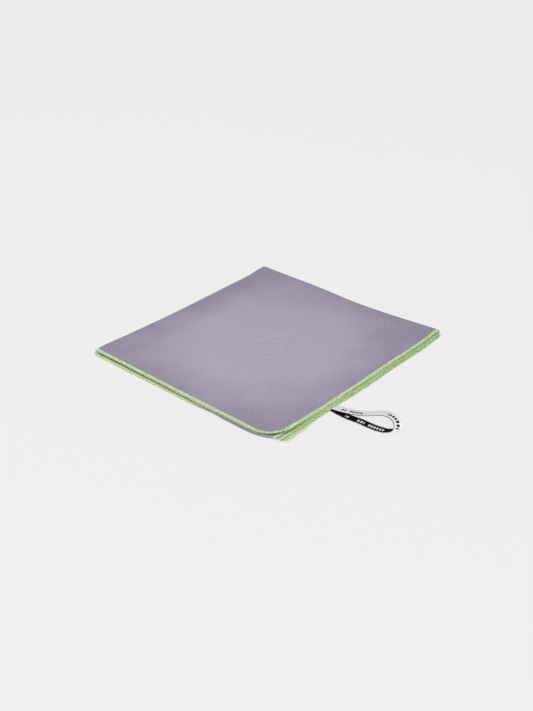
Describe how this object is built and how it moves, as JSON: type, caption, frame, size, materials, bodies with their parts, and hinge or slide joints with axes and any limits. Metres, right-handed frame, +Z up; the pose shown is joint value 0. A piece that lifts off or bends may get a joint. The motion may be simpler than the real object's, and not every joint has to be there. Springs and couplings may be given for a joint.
{
  "type": "folded quick dry towel",
  "caption": "Thin microfibre towel folded flat in eight layers, with overlocked coloured edges and a woven ribbon hanging loop; it opens at its last fold.",
  "frame": {"origin": "middle of the folded towel's underside, on the surface that it lies on", "axes": "+X from the last fold to the open edges where the loop is sewn, +Y from the open strip ends to the folds opposite, +Z up"},
  "size_m": [0.5092, 0.427, 0.0133],
  "materials": {
    "microfibre_cloth": "matte",
    "overlock_thread": "matte",
    "woven_ribbon": "satin"
  },
  "bodies": {
    "lower_half": {"fold12_lower": "microfibre_cloth", "fold23_lower": "microfibre_cloth", "fold34_lower": "microfibre_cloth", "loop_sewn_tab": "woven_ribbon", "overlock1_lower_corner": "overlock_thread", "overlock1_lower_end": "overlock_thread", "overlock1_lower_side": "overlock_thread", "overlock2_lower_side": "overlock_thread", "overlock3_lower_side": "overlock_thread", "overlock4_lower_corner": "overlock_thread", "overlock4_lower_end": "overlock_thread", "overlock4_lower_side": "overlock_thread", "strip1_lower_panel": "microfibre_cloth", "strip1_lower_spine": "microfibre_cloth", "strip2_lower_panel": "microfibre_cloth", "strip2_lower_spine": "microfibre_cloth", "strip3_lower_panel": "microfibre_cloth", "strip3_lower_spine": "microfibre_cloth", "strip4_lower_panel": "microfibre_cloth", "strip4_lower_spine": "microfibre_cloth"},
    "upper_half": {"fold12_upper": "microfibre_cloth", "fold23_upper": "microfibre_cloth", "fold34_upper": "microfibre_cloth", "overlock1_upper_corner": "overlock_thread", "overlock1_upper_end": "overlock_thread", "overlock1_upper_side": "overlock_thread", "overlock2_upper_side": "overlock_thread", "overlock3_upper_side": "overlock_thread", "overlock4_upper_corner": "overlock_thread", "overlock4_upper_end": "overlock_thread", "overlock4_upper_side": "overlock_thread", "strip1_upper_panel": "microfibre_cloth", "strip1_upper_spine": "microfibre_cloth", "strip2_upper_panel": "microfibre_cloth", "strip2_upper_spine": "microfibre_cloth", "strip3_upper_panel": "microfibre_cloth", "strip3_upper_spine": "microfibre_cloth", "strip4_upper_panel": "microfibre_cloth", "strip4_upper_spine": "microfibre_cloth"},
    "hang_loop": {"loop_far_strand": "woven_ribbon", "loop_near_strand": "woven_ribbon", "loop_root": "woven_ribbon", "loop_tip": "woven_ribbon"}
  },
  "joints": [
    {"name": "last_fold", "type": "hinge", "parent": "lower_half", "child": "upper_half", "pos_m": [-0.19815, 0, 0.00665], "axis": [0, -1, 0], "range_deg": [0, 180]},
    {"name": "loop_seam", "type": "hinge", "parent": "lower_half", "child": "hang_loop", "pos_m": [0.204, -0.081, 0.0014], "axis": [0, -1, 0], "range_deg": [0, 90]}
  ]
}
